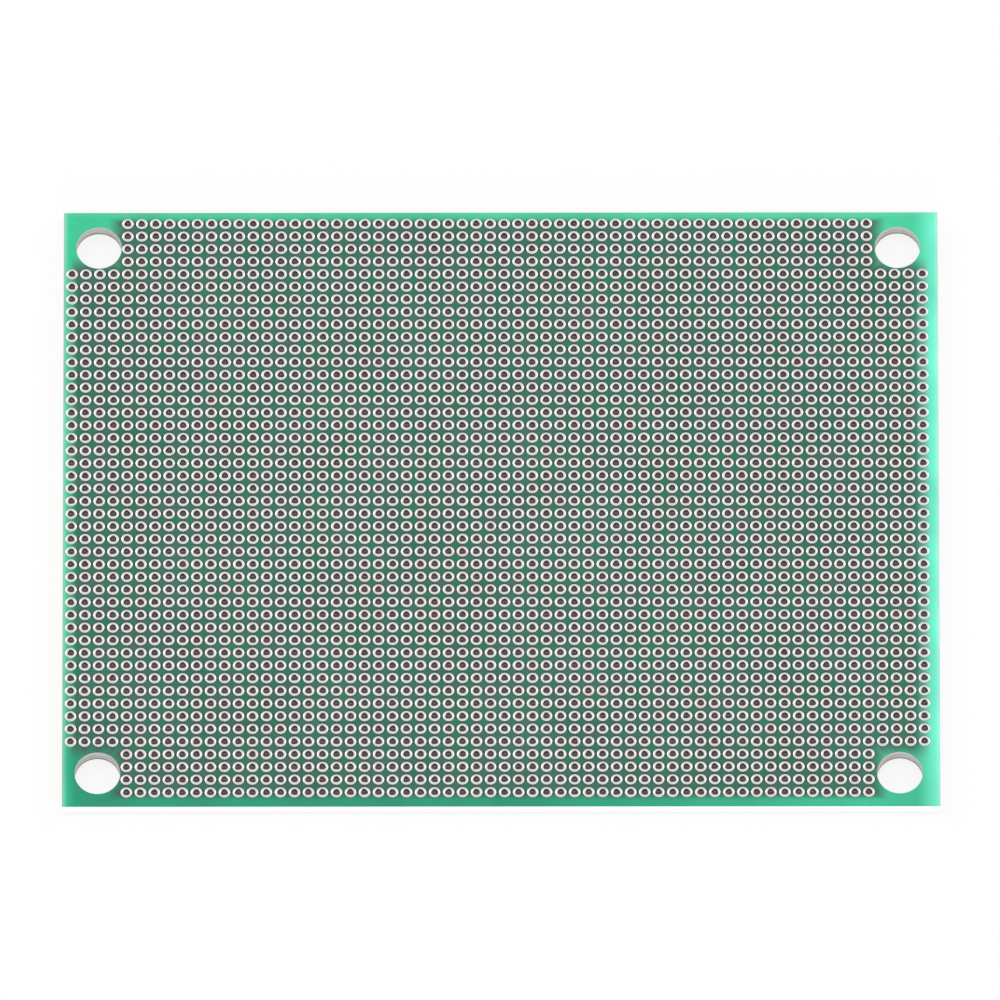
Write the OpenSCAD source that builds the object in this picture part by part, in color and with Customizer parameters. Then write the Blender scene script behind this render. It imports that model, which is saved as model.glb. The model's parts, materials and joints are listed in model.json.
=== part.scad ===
// Bare double-sided prototyping board: a drilled glass-epoxy sheet with a grid of plated eyelets.
// X runs along the long side, Y along the short side, Z up.
// The origin is under the middle of the board, on the plane that its lower lands rest on.

/* [Pad grid] */
// Distance between neighbouring pads, both ways
pitch = 1.27; // [1.04:0.01:2.6]
// Pads in a full row, along X
columns = 62; // [16:1:90]
// Rows of pads, along Y
rows = 46; // [16:1:80]

/* [Board edges] */
// From the middle of the first column to the left edge
left_margin = 0.75; // [0.7:0.01:4]
// From the middle of the last column to the right edge
right_margin = 1.38; // [0.7:0.01:4]
// From the middle of the first row to the front edge
front_margin = 1.43; // [0.7:0.01:4]
// From the middle of the last row to the back edge
back_margin = 1.12; // [0.7:0.01:4]

/* [Sheet] */
// Thickness of the glass-epoxy sheet with its mask, without the lands
sheet_t = 1.4; // [0.6:0.1:3.2]
// Width of the trough where the mask sinks between two rows of lands
trough_w = 0.08; // [0.04:0.01:0.12]
// Depth of that trough
trough_depth = 0.01; // [0.005:0.005:0.02]

/* [Plated eyelets] */
// Diameter of the round lands on both faces
land_d = 1.05; // [0.9:0.01:1.2]
// How high the tinned crown of a land stands over the sheet
land_h = 0.05; // [0.03:0.01:0.1]
// Finished diameter of the hole that a lead goes through
lead_hole_d = 0.6; // [0.4:0.01:0.74]
// Thickness of the eyelet's barrel, from the lead hole to the wall drilled in the sheet
barrel_t = 0.12; // [0.02:0.01:0.15]

/* [Screw holes] */
// Diameter of the four unplated holes
screw_hole_d = 4.15; // [2.2:0.05:5.5]
// From the left edge to the middle of the two left holes
screw_left = 3.2; // [3:0.01:8]
// From the right edge to the middle of the two right holes
screw_right = 3.65; // [3:0.01:8]
// From the front edge to the middle of the two front holes
screw_front = 3.35; // [3:0.01:8]
// From the back edge to the middle of the two back holes
screw_back = 3.56; // [3:0.01:8]
// Least wall left in the sheet between a screw hole and a pad's drilled hole
web_min = 0.03; // [0.03:0.01:1]
// How far a land is cut back from a screw hole that reaches it
copper_setback = 0.015; // [0.005:0.005:0.025]

/* [Hidden] */
$fn = 48;

// Every row of eyelets is a node of its own, counted from the front edge.
function row_name(row) = str("pads_row_", row < 9 ? "0" : "", row + 1);

drill_d = lead_hole_d + 2 * barrel_t;
board_l = left_margin + (columns - 1) * pitch + right_margin;
board_w = front_margin + (rows - 1) * pitch + back_margin;
board_t = sheet_t + 2 * land_h;
sheet_top = board_t - land_h;
through = 1;  // how far a cutting tool runs past each face
trough_half = min(trough_w, (pitch - land_d) / 2) / 2;

// Middle of a pad, from its column and its row
function pad_x(column) = -board_l / 2 + left_margin + column * pitch;
function pad_y(row) = -board_w / 2 + front_margin + row * pitch;

// Pads left out at a corner, counted one way, so that none is drilled into the screw hole there
function left_out(inset, margin) =
    ceil((inset + screw_hole_d / 2 + web_min + drill_d / 2 - margin) / pitch);
left_block = left_out(screw_left, left_margin);
right_block = left_out(screw_right, right_margin);
front_block = left_out(screw_front, front_margin);
back_block = left_out(screw_back, back_margin);

// A pad is left out where its column and its row both lie in a corner's block
function column_in_block(column) = column < left_block || column >= columns - right_block;
function row_in_block(row) = row < front_block || row >= rows - back_block;
function is_pad(column, row) = !(column_in_block(column) && row_in_block(row));

// The four screw holes, for whatever is drawn as the child
module at_screws() {
    for (x = [-board_l / 2 + screw_left, board_l / 2 - screw_right])
        for (y = [-board_w / 2 + screw_front, board_w / 2 - screw_back])
            translate([x, y, -through])
                children();
}

module screw_bore(clearance = 0) {
    cylinder(d = screw_hole_d + 2 * clearance, h = board_t + 2 * through);
}

// The pads of one row, for whatever is drawn as the child
module at_pads(row) {
    for (column = [0 : columns - 1])
        if (is_pad(column, row))
            translate([pad_x(column), pad_y(row), 0])
                children();
}

// The trough between a row and the next, as three points of one face of the sheet's section
function trough(row, face, inward) = let (y = pad_y(row) + pitch / 2) [
    [y - trough_half, face],
    [y, face + inward * trough_depth],
    [y + trough_half, face]
];

function face_line(face, inward) = [
    [-board_w / 2, face],
    for (row = [0 : rows - 2]) each trough(row, face, inward),
    [board_w / 2, face]
];

function reversed(points) = [for (i = [len(points) - 1 : -1 : 0]) points[i]];

// The blank sheet: its section across the rows, drawn out along X
module blank_sheet() {
    rotate([90, 0, 90])
        linear_extrude(board_l, center = true)
            polygon(concat(face_line(land_h, 1), reversed(face_line(sheet_top, -1))));
}

// The sheet, drilled for every eyelet and for the four screws
module substrate() {
    color("mediumseagreen")
        difference() {
            blank_sheet();
            for (row = [0 : rows - 1])
                at_pads(row)
                    translate([0, 0, -through])
                        cylinder(d = drill_d, h = board_t + 2 * through);
            at_screws()
                screw_bore();
        }
}

// One eyelet, turned from its section: a barrel in the drilled hole and a land on each face,
// whose tin stands highest round the hole and thins out to the rim
module eyelet() {
    rotate_extrude()
        polygon([
            [lead_hole_d / 2, 0],
            [land_d / 2, land_h],
            [drill_d / 2, land_h],
            [drill_d / 2, sheet_top],
            [land_d / 2, sheet_top],
            [lead_hole_d / 2, board_t]
        ]);
}

// One row of eyelets; a land that a screw hole reaches is cut back with it
module pads_row(row) {
    color("gainsboro")
        difference() {
            at_pads(row)
                eyelet();
            at_screws()
                screw_bore(copper_setback);
        }
}

substrate();
for (row = [0 : rows - 1])
    pads_row(row);
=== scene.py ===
import json
import math
import random

import bmesh
import bpy
from mathutils import Matrix, Quaternion, Vector


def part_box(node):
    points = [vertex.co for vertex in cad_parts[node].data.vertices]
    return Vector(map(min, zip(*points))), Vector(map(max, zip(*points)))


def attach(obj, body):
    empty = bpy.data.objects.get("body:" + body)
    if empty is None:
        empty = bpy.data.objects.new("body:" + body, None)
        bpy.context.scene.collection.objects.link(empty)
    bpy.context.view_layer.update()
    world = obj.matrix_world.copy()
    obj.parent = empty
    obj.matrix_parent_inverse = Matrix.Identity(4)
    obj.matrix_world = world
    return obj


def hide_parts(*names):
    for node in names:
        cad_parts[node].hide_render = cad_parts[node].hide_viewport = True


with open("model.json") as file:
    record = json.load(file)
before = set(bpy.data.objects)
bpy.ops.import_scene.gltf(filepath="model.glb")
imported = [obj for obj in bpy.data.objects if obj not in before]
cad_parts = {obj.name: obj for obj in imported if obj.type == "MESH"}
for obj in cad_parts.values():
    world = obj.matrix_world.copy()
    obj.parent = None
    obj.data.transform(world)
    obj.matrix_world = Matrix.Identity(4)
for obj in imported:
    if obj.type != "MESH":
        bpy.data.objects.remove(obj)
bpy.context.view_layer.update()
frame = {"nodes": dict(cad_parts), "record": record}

mm = 0.001
hair = 0.001 * mm  # closer than this counts as the same place

# ---------------------------------------------------------------------------------------------
# Laminate: the board's core, woven glass cloth pressed in epoxy (FR-4). It is routed to size
# and drilled once for every eyelet and for the four screws. Its cut edges are pale and fibrous;
# its faces are painted dark, a painted shade for light lost in the sheet between the lands, and
# show in a narrow ring round each land.

sheet_low, sheet_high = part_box("substrate")
mask_thickness = 0.02 * mm
core_low = sheet_low.z + mask_thickness
core_high = sheet_high.z - mask_thickness

# The grid of eyelets, read from the boxes of its rows.
row_names = sorted(name for name in frame["nodes"] if name.startswith("pads_row_"))
full_low, full_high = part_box(row_names[len(row_names) // 2])
front_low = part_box(row_names[0])[0]
land_radius = (full_high.y - full_low.y) / 2
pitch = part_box(row_names[1])[0].y - front_low.y
columns = round((full_high.x - full_low.x - 2 * land_radius) / pitch) + 1
first_pad = Vector((full_low.x + land_radius, front_low.y + land_radius, 0))
corner_block = round((front_low.x - full_low.x) / pitch)

drill_radius = 0.42 * mm
round_sides = 12
screw_sides = 64
overshoot = 1 * mm  # how far a cutter stands out of each face

mounts = {mount["name"]: mount for mount in frame["record"]["mounts"]}
screws = [mount for name, mount in mounts.items() if name.startswith("screw_hole_")]


def srgb(colour):
    """A hex colour as the linear value that a shader socket takes."""
    parts = [int(colour[i:i + 2], 16) / 255 for i in (1, 3, 5)]
    linear = [c / 12.92 if c <= 0.04045 else ((c + 0.055) / 1.055) ** 2.4 for c in parts]
    return (*linear, 1)


def add(material, kind, inputs, **settings):
    """Adds one shader node. An input is a plain value or the output of another node."""
    tree = material.node_tree
    made = tree.nodes.new("ShaderNode" + kind)
    for name, value in settings.items():
        setattr(made, name, value)
    for socket, value in inputs.items():
        if isinstance(value, bpy.types.NodeSocket):
            tree.links.new(value, made.inputs[socket])
        else:
            made.inputs[socket].default_value = value
    return made


def new_material(name):
    """An empty material; its shader is added by the section that uses it."""
    material = bpy.data.materials.new(name)
    material.use_nodes = True
    material.node_tree.nodes.clear()
    return material


def row_columns(row):
    """The columns that hold an eyelet in a row; the corners leave room for the screws."""
    last_full = len(row_names) - corner_block - 1
    inset = 0 if corner_block <= row <= last_full else corner_block
    return range(inset, columns - inset)


def laid_out(placed):
    """One mesh from pairs of a shape and its offset."""
    made = bmesh.new()
    for shape, offset in placed:
        copy = shape.copy()
        copy.transform(Matrix.Translation(offset))
        made.from_mesh(copy)
        bpy.data.meshes.remove(copy)
    mesh = bpy.data.meshes.new(placed[0][0].name)
    made.to_mesh(mesh)
    made.free()
    return mesh


def drill_bit(name, radius, sides):
    """A round cutter on the origin, longer than the board is thick."""
    made = bmesh.new()
    length = sheet_high.z + 2 * overshoot
    bmesh.ops.create_cone(
        made, cap_ends=True, segments=sides, radius1=radius, radius2=radius, depth=length,
        matrix=Matrix.Translation((0, 0, length / 2 - overshoot)))
    mesh = bpy.data.meshes.new(name)
    made.to_mesh(mesh)
    made.free()
    return mesh


def drilling_pattern(radius):
    """Cutters for every eyelet, in one mesh: a line of them for each row, then all the lines."""
    bit = drill_bit("drilling", radius, round_sides)
    lines = []
    for row in range(len(row_names)):
        line = [(bit, (first_pad.x + column * pitch, 0, 0)) for column in row_columns(row)]
        lines.append((laid_out(line), (0, first_pad.y + row * pitch, 0)))
    return laid_out(lines)


def screw_pattern():
    """Cutters for the four screw holes, in one mesh."""
    bit = drill_bit("screw_holes", screws[0]["dims"]["r_mm"] * mm, screw_sides)
    return laid_out([(bit, (*screw["pos_m"][:2], 0)) for screw in screws])


def cut_away(piece, cutter):
    """Takes a cutter mesh out of a piece and keeps the result as the piece's own mesh."""
    tool = bpy.data.objects.new("cutter", cutter)
    bpy.context.collection.objects.link(tool)
    cut = piece.modifiers.new("cut", "BOOLEAN")
    cut.operation = "DIFFERENCE"
    cut.solver = "MANIFOLD"
    cut.object = tool
    depsgraph = bpy.context.evaluated_depsgraph_get()
    finished = bpy.data.meshes.new_from_object(piece.evaluated_get(depsgraph))
    piece.modifiers.clear()
    piece.data = finished
    bpy.data.objects.remove(tool)


def drilled_sheet(name, low, high, hole_radius, edge_setback, finishes):
    """A plate with the board's outline, drilled for every eyelet and every screw."""
    size = sheet_high - sheet_low
    made = bmesh.new()
    bmesh.ops.create_cube(made, size=1)
    outline = Vector((size.x - 2 * edge_setback, size.y - 2 * edge_setback, high - low))
    bmesh.ops.scale(made, vec=outline, verts=made.verts)
    bmesh.ops.translate(made, vec=(0, 0, (low + high) / 2), verts=made.verts)
    mesh = bpy.data.meshes.new(name)
    made.to_mesh(mesh)
    made.free()
    for finish in finishes:
        mesh.materials.append(finish)
    piece = bpy.data.objects.new(name, mesh)
    bpy.context.collection.objects.link(piece)
    cut_away(piece, drilling_pattern(hole_radius))
    cut_away(piece, screw_pattern())
    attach(piece, "root")
    return piece


# Cut glass-epoxy: routed or drilled through the weave, so it is matt, pale and faintly streaked by
# the plies of glass cloth. The front edge is routed and painted near-white: painted light, as
# bright as the floor. The other three were broken from the panel along a score and keep the
# sheet's yellower cream. A drill leaves a greyer wall. Each cut face is painted darker at its
# foot: painted contact shade.
ply_spacing = 0.18 * mm
along_ply = 600  # streaks to the metre along a ply
# how far up each cut face the painted contact shade reaches
contact_shade_height = 0.3 * mm


def glass_epoxy(name, shadow, light, painted_contact_shade):
    """The cut weave, between two tones, and a third low down: painted shade near the floor."""
    material = new_material(name)
    place = add(material, "TexCoord", {}).outputs["Object"]
    weave = (along_ply, along_ply, 1 / ply_spacing)
    plies = add(material, "Mapping", {"Vector": place, "Scale": weave})
    fibres = add(material, "TexNoise", {
        "Vector": plies.outputs["Vector"], "Scale": 1.0, "Detail": 3.0})
    tone = add(material, "ValToRGB", {"Fac": fibres.outputs["Fac"]})
    tone.color_ramp.elements[0].position = 0.3
    tone.color_ramp.elements[0].color = srgb(shadow)
    tone.color_ramp.elements[1].position = 0.7
    tone.color_ramp.elements[1].color = srgb(light)
    # The third tone darkens the bottom of each cut face: painted contact shade near the floor.
    height = add(material, "SeparateXYZ", {"Vector": place}).outputs["Z"]
    low = add(material, "MapRange", {
        "Value": height, "From Min": core_low + contact_shade_height, "From Max": core_low},
        interpolation_type="SMOOTHSTEP")
    tone = add(material, "Mix", {
        "Factor": low.outputs["Result"], 6: tone.outputs["Color"], 7: srgb(painted_contact_shade)},
        data_type="RGBA")
    grain = add(material, "Bump", {
        "Height": fibres.outputs["Fac"], "Strength": 0.25, "Distance": 0.02 * mm})
    surface = add(material, "BsdfPrincipled", {
        "Base Color": tone.outputs[2], "Roughness": 0.75, "IOR": 1.5,
        "Normal": grain.outputs["Normal"]})
    add(material, "OutputMaterial", {"Surface": surface.outputs["BSDF"]})
    return material


# The front edge's near-white is painted light; the third tone of each is painted contact shade.
front_edge_painted_lit = glass_epoxy("glass_epoxy_routed_edge", "#F8F8F6", "#FEFEFD", "#F2F3F0")
scored_edge = glass_epoxy("glass_epoxy_scored_edge", "#CFCDB6", "#E2E0CE", "#C2C0AA")
drilled_wall = glass_epoxy("glass_epoxy_drilled_wall", "#BDBAB7", "#DFDCD9", "#77747C")

# Etched face of the core, shown between a land and the mask: painted dark grey, a painted shade
# for light lost in the sheet between the lands; the mottling is the epoxy's own.
etched_epoxy_painted_shade = new_material("etched_epoxy_face")
place = add(etched_epoxy_painted_shade, "TexCoord", {}).outputs["Object"]
mottle_size = 0.6 * mm
weave = add(etched_epoxy_painted_shade, "TexNoise", {"Vector": place, "Scale": 1 / mottle_size, "Detail": 2.0})
tone = add(etched_epoxy_painted_shade, "ValToRGB", {"Fac": weave.outputs["Fac"]})
tone.color_ramp.elements[0].position = 0.35
tone.color_ramp.elements[0].color = srgb("#3B3A39")
tone.color_ramp.elements[1].position = 0.65
tone.color_ramp.elements[1].color = srgb("#5A5A57")
surface = add(etched_epoxy_painted_shade, "BsdfPrincipled", {
    "Base Color": tone.outputs["Color"], "Roughness": 0.6, "IOR": 1.5})
add(etched_epoxy_painted_shade, "OutputMaterial", {"Surface": surface.outputs["BSDF"]})

core_finishes = [front_edge_painted_lit, etched_epoxy_painted_shade, drilled_wall, scored_edge]
core = drilled_sheet("laminate_core", core_low, core_high, drill_radius, 0, core_finishes)
for face in core.data.polygons:
    inset = min(sheet_high.x - abs(face.center.x), sheet_high.y - abs(face.center.y))
    if abs(face.normal.z) > 0.9:
        finish = etched_epoxy_painted_shade
    elif inset > hair:
        finish = drilled_wall
    elif face.normal.y < -0.9:
        finish = front_edge_painted_lit
    else:
        finish = scored_edge
    face.material_index = core_finishes.index(finish)
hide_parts("substrate")

# ---------------------------------------------------------------------------------------------
# Solder mask: a green epoxy ink, screened over both faces and cured to a semi-gloss film. Each
# pad has a round opening in it a little wider than its land. The film is thin and lets light
# through: bright and minty over bare laminate at the rim, dull and dark where pads crowd it.

opening_radius = 0.55 * mm
mask_setback = 0.01 * mm  # of the film from the board's edge

solder_mask = new_material("green_solder_mask")
place = add(solder_mask, "TexCoord", {}).outputs["Object"]
# Position in pitches, from the first pad of the front row.
offset = add(solder_mask, "VectorMath", {0: place, 1: first_pad}, operation="SUBTRACT")
flat = add(solder_mask, "VectorMath", {0: offset.outputs[0], 1: (1 / pitch, 1 / pitch, 0)},
           operation="MULTIPLY")
last_column = columns - 1
last_row = len(row_names) - 1
# The pads fill two crossed rectangles, given by their first and last column and row.
long_rectangle = ((0, corner_block, 0), (last_column, last_row - corner_block, 0))
short_rectangle = ((corner_block, 0, 0), (last_column - corner_block, last_row, 0))
outside = []
for first, last in (long_rectangle, short_rectangle):
    held = add(solder_mask, "VectorMath", {0: flat.outputs[0], 1: first}, operation="MAXIMUM")
    held = add(solder_mask, "VectorMath", {0: held.outputs[0], 1: last}, operation="MINIMUM")
    apart = add(solder_mask, "VectorMath", {0: flat.outputs[0], 1: held.outputs[0]},
                operation="DISTANCE")
    outside.append(apart.outputs["Value"])
grid_distance = add(solder_mask, "Math", {0: outside[0], 1: outside[1]}, operation="MINIMUM")

# Among the pads: dark grey in the narrow web between two pads, a painted shade where the pads
# shut out the light; green where four pads meet.
across = add(solder_mask, "SeparateXYZ", {"Vector": flat.outputs[0]})
off_column = add(solder_mask, "Math", {0: across.outputs["X"], 1: 0.5}, operation="PINGPONG")
off_row = add(solder_mask, "Math", {0: across.outputs["Y"], 1: 0.5}, operation="PINGPONG")
off_both = add(solder_mask, "Math", {0: off_column.outputs[0], 1: off_row.outputs[0]},
               operation="MINIMUM")
web_painted_shade = add(solder_mask, "MapRange", {
    "Value": off_both.outputs[0], "From Min": 0.08, "From Max": 0.3})
patch_size = 1.1 * mm
patches = add(solder_mask, "TexNoise", {"Vector": place, "Scale": 1 / patch_size, "Detail": 2.0})
green = add(solder_mask, "ValToRGB", {"Fac": patches.outputs["Fac"]})
green.color_ramp.elements[0].position = 0.38
green.color_ramp.elements[0].color = srgb("#3C6A60")
green.color_ramp.elements[1].position = 0.62
green.color_ramp.elements[1].color = srgb("#22745A")
field = add(solder_mask, "Mix", {
    "Factor": web_painted_shade.outputs["Result"], 6: srgb("#464D4A"), 7: green.outputs["Color"]},
    data_type="RGBA")

# Beyond the pads: painted light, a glow through the film, brighter towards the back edge and,
# more slowly, towards the right.
axes = add(solder_mask, "SeparateXYZ", {"Vector": place})
depth = add(solder_mask, "MapRange", {
    "Value": axes.outputs["Y"], "From Min": sheet_low.y, "From Max": sheet_high.y})
painted_margin_glow = add(solder_mask, "ValToRGB", {"Fac": depth.outputs["Result"]})
painted_margin_glow.color_ramp.elements[0].color = srgb("#239976")
painted_margin_glow.color_ramp.elements[1].color = srgb("#3CC494")
rightward = add(solder_mask, "MapRange", {
    "Value": axes.outputs["X"], "From Min": 0.0, "From Max": sheet_high.x, "To Max": 0.5},
    interpolation_type="SMOOTHSTEP")
painted_margin_glow = add(solder_mask, "Mix", {
    "Factor": rightward.outputs["Result"], 6: painted_margin_glow.outputs["Color"], 7: srgb("#4FE0AE")},
    data_type="RGBA")
# This tone takes over between 0.15 and 1.6 pitches from the last pads. Along each edge it also
# reaches in, as far as the outermost pads.
spread = add(solder_mask, "MapRange", {
    "Value": grid_distance.outputs[0], "From Min": 0.15, "From Max": 1.6},
    interpolation_type="SMOOTHSTEP")
for axis, edge, reach in (
        ("X", sheet_low.x, 1.2 * mm), ("X", sheet_high.x, -1.4 * mm),
        ("Y", sheet_low.y, 1.3 * mm), ("Y", sheet_high.y, -1.1 * mm)):
    near = add(solder_mask, "MapRange", {
        "Value": axes.outputs[axis], "From Min": edge + reach, "From Max": edge + 0.4 * reach},
        interpolation_type="SMOOTHSTEP")
    spread = add(solder_mask, "Math", {0: spread.outputs[0], 1: near.outputs[0]},
                 operation="MAXIMUM")
ink = add(solder_mask, "Mix", {
    "Factor": spread.outputs[0], 6: field.outputs[2], 7: painted_margin_glow.outputs[2]},
    data_type="RGBA")

# Light carried along inside the sheet comes out at its rim: how far in, how strong, what tone.
for axis, edge, reach, strength, tone in (
        ("X", sheet_high.x, -2.4 * mm, 1.0, "#74F7D2"),
        ("X", sheet_high.x, -0.5 * mm, 0.35, "#C8FFF4"),
        ("X", sheet_low.x, 1.4 * mm, 0.8, "#2ACB98"),
        ("X", sheet_low.x, 0.5 * mm, 0.5, "#B4E0CE"),
        ("Y", sheet_high.y, -0.6 * mm, 0.15, "#A4E6CE")):
    rim = add(solder_mask, "MapRange", {
        "Value": axes.outputs[axis], "From Min": edge + reach, "From Max": edge,
        "To Max": strength}, interpolation_type="SMOOTHSTEP")
    ink = add(solder_mask, "Mix", {
        "Factor": rim.outputs["Result"], 6: ink.outputs[2], 7: srgb(tone)}, data_type="RGBA")

# The ink pools unevenly, and its skin ripples faintly.
pool_size = 6 * mm
ripple_size = 1.5 * mm
cloud = add(solder_mask, "TexNoise", {"Vector": place, "Scale": 1 / pool_size, "Detail": 3.0})
shade = add(solder_mask, "MapRange", {
    "Value": cloud.outputs["Fac"], "From Min": 0.3, "From Max": 0.7,
    "To Min": 0.88, "To Max": 1.12})
toned = add(solder_mask, "VectorMath", {0: ink.outputs[2], "Scale": shade.outputs["Result"]},
            operation="SCALE")
skin = add(solder_mask, "TexNoise", {"Vector": place, "Scale": 1 / ripple_size, "Detail": 2.0})
ripple = add(solder_mask, "Bump", {
    "Height": skin.outputs["Fac"], "Strength": 0.2, "Distance": 0.01 * mm})
surface = add(solder_mask, "BsdfPrincipled", {
    "Base Color": toned.outputs[0], "Roughness": 0.38, "IOR": 1.5, "Specular IOR Level": 0.3,
    "Normal": ripple.outputs["Normal"]})
add(solder_mask, "OutputMaterial", {"Surface": surface.outputs["BSDF"]})

for name, low in (("solder_mask_top", core_high), ("solder_mask_bottom", sheet_low.z)):
    drilled_sheet(name, low, low + mask_thickness, opening_radius, mask_setback, [solder_mask])

# ---------------------------------------------------------------------------------------------
# Eyelets: copper plated through each drilled hole and out to a round land on both faces, then
# dipped in tin and levelled with hot air. The tin stands highest in a soft crown round the hole
# and thins out to the rim; inside the barrel it is thin, dull and brownish.

lead_radius = mounts["lead_hole"]["dims"]["r_mm"] * mm
crown_radius = 0.415 * mm
board_top = full_high.z
crown_fall = 0.03 * mm  # from the crown down to the lip of the hole
rim_rise = 0.012 * mm  # of the rim over the core
lip_spread = 1.05  # the lip against the hole drawn for a lead
eyelet_shapes = 24


def pad_chance(material, place, salt):
    """A random number for each pad, the same all over it."""
    offset = add(material, "VectorMath", {0: place, 1: first_pad}, operation="SUBTRACT")
    index = add(material, "VectorMath", {
        0: offset.outputs[0], 1: (1 / pitch, 1 / pitch, 0), 2: (0.5, 0.5, salt)},
        operation="MULTIPLY_ADD")
    index = add(material, "VectorMath", {0: index.outputs[0]}, operation="FLOOR")
    noise = add(material, "TexWhiteNoise", {"Vector": index.outputs[0]}, noise_dimensions="3D")
    return noise.outputs["Value"]


# Levelled tin: bright, a little uneven from pad to pad, a few pads faintly pink with flux.
tin = new_material("hot_air_levelled_tin")
place = add(tin, "TexCoord", {}).outputs["Object"]
tint = add(tin, "ValToRGB", {"Fac": pad_chance(tin, place, 1)})
tint.color_ramp.elements[0].color = srgb("#D9D0CE")
tint.color_ramp.elements[1].position = 0.18
tint.color_ramp.elements[1].color = srgb("#D7D9D5")
dent_size = 0.35 * mm
dents = add(tin, "TexNoise", {"Vector": place, "Scale": 1 / dent_size, "Detail": 2.0})
dull = add(tin, "MapRange", {"Value": dents.outputs["Fac"], "To Min": 0.22, "To Max": 0.5})
wrinkle = add(tin, "Bump", {
    "Height": dents.outputs["Fac"], "Strength": 0.35, "Distance": 0.02 * mm})
surface = add(tin, "BsdfPrincipled", {
    "Base Color": tint.outputs["Color"], "Metallic": 1.0, "Roughness": dull.outputs["Result"],
    "Normal": wrinkle.outputs["Normal"]})
add(tin, "OutputMaterial", {"Surface": surface.outputs["BSDF"]})

# Tin inside the barrel: a dull wash over copper, brownish grey, redder in some holes. A paler
# band half way down is a painted reflection of light mirrored down the barrel.
barrel_wash = new_material("tin_wash_in_barrel")
place = add(barrel_wash, "TexCoord", {}).outputs["Object"]
copper = add(barrel_wash, "ValToRGB", {"Fac": pad_chance(barrel_wash, place, 7)})
copper.color_ramp.elements[0].color = srgb("#86656A")
copper.color_ramp.elements[1].position = 0.4
copper.color_ramp.elements[1].color = srgb("#7C7372")
height = add(barrel_wash, "SeparateXYZ", {"Vector": place}).outputs["Z"]
# A paler band half way down: painted reflection.
share = add(barrel_wash, "MapRange", {"Value": height, "From Min": 0.0, "From Max": board_top})
painted_reflection_band = add(barrel_wash, "ValToRGB", {"Fac": share.outputs["Result"]})
painted_reflection_band.color_ramp.elements[0].position = 0.42
painted_reflection_band.color_ramp.elements[0].color = srgb("#000000")
painted_reflection_band.color_ramp.elements[1].position = 0.67
painted_reflection_band.color_ramp.elements[1].color = srgb("#000000")
painted_reflection_band.color_ramp.elements.new(0.55).color = srgb("#FFFFFF")
wash = add(barrel_wash, "Mix", {
    "Factor": painted_reflection_band.outputs["Color"], 6: copper.outputs["Color"], 7: srgb("#F2ECEC")},
    data_type="RGBA")
surface = add(barrel_wash, "BsdfPrincipled", {
    "Base Color": wash.outputs[2], "Metallic": 0.5, "Roughness": 0.55})
add(barrel_wash, "OutputMaterial", {"Surface": surface.outputs["BSDF"]})


def eyelet_mesh(chance):
    """One eyelet on the origin, spun from its section. Its lip is a soft triangle off centre."""
    crown = crown_radius + chance.uniform(-0.012, 0.012) * mm
    section = [
        (lead_radius, board_top - crown_fall),
        (crown, board_top),
        (land_radius, core_high + rim_rise),
        (drill_radius, core_high),
        (drill_radius, core_low),
        (land_radius, core_low - rim_rise),
        (crown, 0),
        (lead_radius, crown_fall),
    ]
    made = bmesh.new()
    corners = [made.verts.new((radius, 0, z)) for radius, z in section]
    edges = [made.edges.new((corners[i - 1], corners[i])) for i in range(len(corners))]
    bmesh.ops.spin(
        made, geom=corners + edges, axis=(0, 0, 1), cent=(0, 0, 0), steps=round_sides,
        angle=2 * math.pi, use_merge=True, use_duplicate=False)
    bmesh.ops.remove_doubles(made, verts=made.verts, dist=hair)
    bmesh.ops.recalc_face_normals(made, faces=made.faces)
    lip = [corner for corner in made.verts if corner.co.xy.length < lead_radius + hair]
    rim = [corner for corner in made.verts if corner.co.xy.length > land_radius - hair]
    for face in made.faces:
        face.smooth = True
        face.material_index = 1 if all(corner in lip for corner in face.verts) else 0
    for edge in made.edges:
        level = abs(edge.verts[0].co.z - edge.verts[1].co.z) < hair
        edge.smooth = not (level and (edge.verts[0] in lip or edge.verts[0] in rim))
    lobe = chance.uniform(0.022, 0.042) * mm
    turn = math.pi / 2 + chance.uniform(-0.2, 0.2)
    drift = (chance.uniform(-0.015, 0.015) * mm, chance.uniform(-0.015, 0.015) * mm, 0)
    for corner in lip:
        angle = math.atan2(corner.co.y, corner.co.x)
        corner.co.xy *= lip_spread + lobe / lead_radius * math.cos(3 * (angle - turn))
    bmesh.ops.translate(made, verts=lip, vec=drift)
    mesh = bpy.data.meshes.new("eyelet")
    made.to_mesh(mesh)
    made.free()
    return mesh


chance = random.Random(46)
eyelets = [eyelet_mesh(chance) for _ in range(eyelet_shapes)]
for row, name in enumerate(row_names):
    y = first_pad.y + row * pitch
    line = [(chance.choice(eyelets), (first_pad.x + column * pitch, y, 0))
            for column in row_columns(row)]
    piece = bpy.data.objects.new(name.replace("pads", "eyelets"), laid_out(line))
    for finish in (tin, barrel_wash):
        piece.data.materials.append(finish)
    bpy.context.collection.objects.link(piece)
    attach(piece, "root")
    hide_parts(name)

# ---------------------------------------------------------------------------------------------
# Floor, light and camera: a white paper floor that keeps the board's shadow but shows white all
# the same, three soft lamps and a white room round them.

floor_size = 12.0
paper_glow = 0.8  # how much of the floor that the camera sees is plain white, not lit paper
room_light = 0.75
lamp_size = 0.6

made = bmesh.new()
bmesh.ops.create_grid(made, x_segments=1, y_segments=1, size=floor_size / 2)
floor_mesh = bpy.data.meshes.new("floor")
made.to_mesh(floor_mesh)
made.free()
floor = bpy.data.objects.new("floor", floor_mesh)
bpy.context.collection.objects.link(floor)

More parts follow.
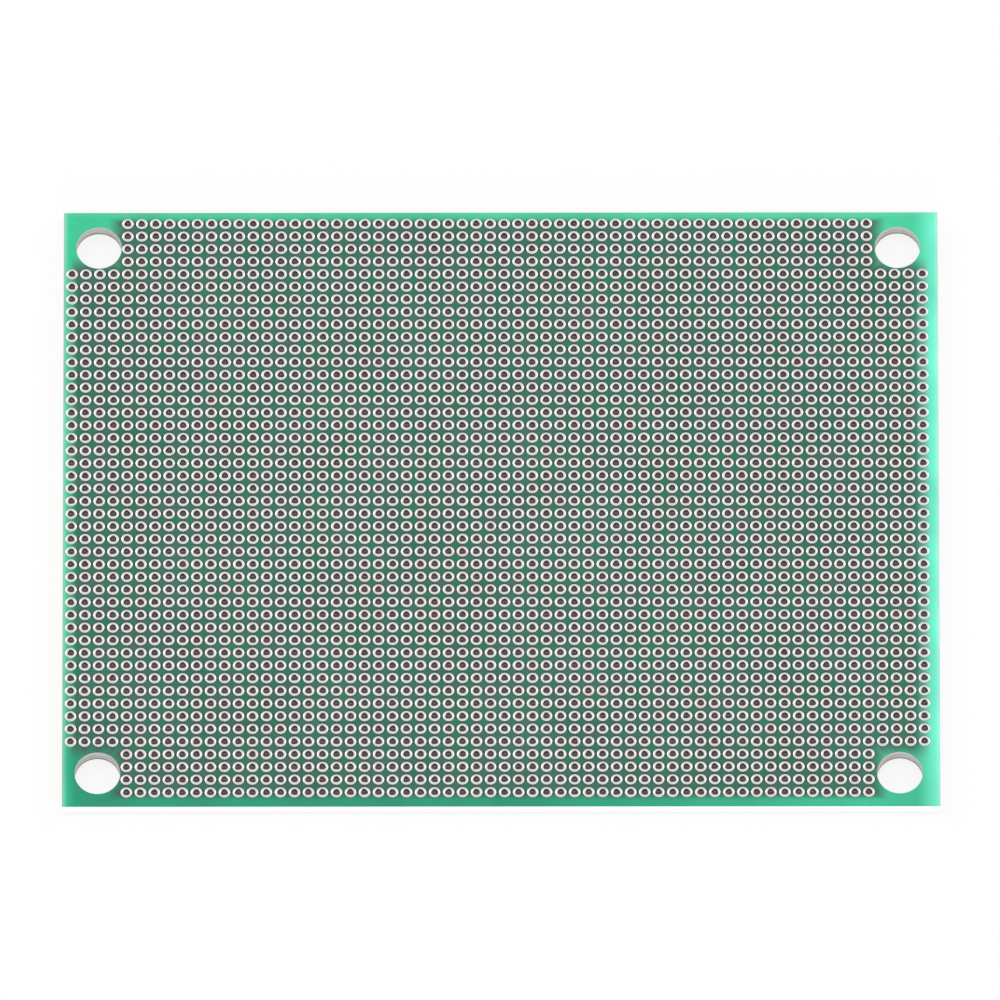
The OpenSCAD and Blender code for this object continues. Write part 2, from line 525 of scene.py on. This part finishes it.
paper = new_material("white_paper")
path = add(paper, "LightPath", {})
seen = add(paper, "Math", {0: path.outputs["Is Camera Ray"], 1: path.outputs["Is Glossy Ray"]},
           operation="MAXIMUM")
share = add(paper, "Math", {0: seen.outputs[0], 1: paper_glow}, operation="MULTIPLY")
matt = add(paper, "BsdfDiffuse", {"Color": srgb("#FFFFFF")})
plain = add(paper, "Emission", {"Color": srgb("#FFFFFF"), "Strength": 1.0})
surface = add(paper, "MixShader", {0: share.outputs[0], 1: matt.outputs[0], 2: plain.outputs[0]})
add(paper, "OutputMaterial", {"Surface": surface.outputs[0]})
floor_mesh.materials.append(paper)

world = bpy.data.worlds.new("studio")
world.use_nodes = True
world.node_tree.nodes.clear()
bpy.context.scene.world = world
path = add(world, "LightPath", {})
seen = add(world, "Math", {0: path.outputs["Is Camera Ray"], 1: path.outputs["Is Glossy Ray"]},
           operation="MAXIMUM")
seen = add(world, "Math", {0: seen.outputs[0], 1: path.outputs["Is Transmission Ray"]},
           operation="MAXIMUM")
strength = add(world, "MapRange", {
    "Value": seen.outputs[0], "To Min": room_light, "To Max": 1.0})
sky = add(world, "Background", {"Color": (1, 1, 1, 1), "Strength": strength.outputs["Result"]})
add(world, "OutputWorld", {"Surface": sky.outputs["Background"]})


def softbox(name, place, power):
    """A square lamp that faces the board; its power is in watts."""
    lamp = bpy.data.lights.new(name, "AREA")
    lamp.size = lamp_size
    lamp.energy = power
    light = bpy.data.objects.new(name, lamp)
    light.location = place
    light.rotation_mode = "QUATERNION"
    light.rotation_quaternion = Vector(place).to_track_quat("Z", "Y")
    bpy.context.collection.objects.link(light)


softbox("left", (-0.75, 0.47, 0.63), 2.4)
softbox("right", (0.75, 0.47, 0.63), 2.0)
softbox("front", (0.1, -1.25, 0.3), 3.6)

lens = 1700  # a very long one, from 4.3 m away, so that the rows stay parallel
sensor = 36
frame_width = 90.9 * mm  # of the picture, at the board
elevation = math.radians(64.7)
roll = math.radians(-0.05)
aim = Vector((-0.08 * mm, 0.84 * mm, board_top))
back = Vector((0, -math.cos(elevation), math.sin(elevation)))
camera_data = bpy.data.cameras.new("camera")
camera_data.lens = lens
camera_data.sensor_width = sensor
camera = bpy.data.objects.new("camera", camera_data)
camera.location = aim + back * (frame_width * lens / sensor)
camera.rotation_mode = "QUATERNION"
camera.rotation_quaternion = back.to_track_quat("Z", "Y") @ Quaternion((0, 0, 1), roll)
bpy.context.collection.objects.link(camera)
bpy.context.scene.camera = camera
bpy.context.scene.view_settings.view_transform = "Standard"
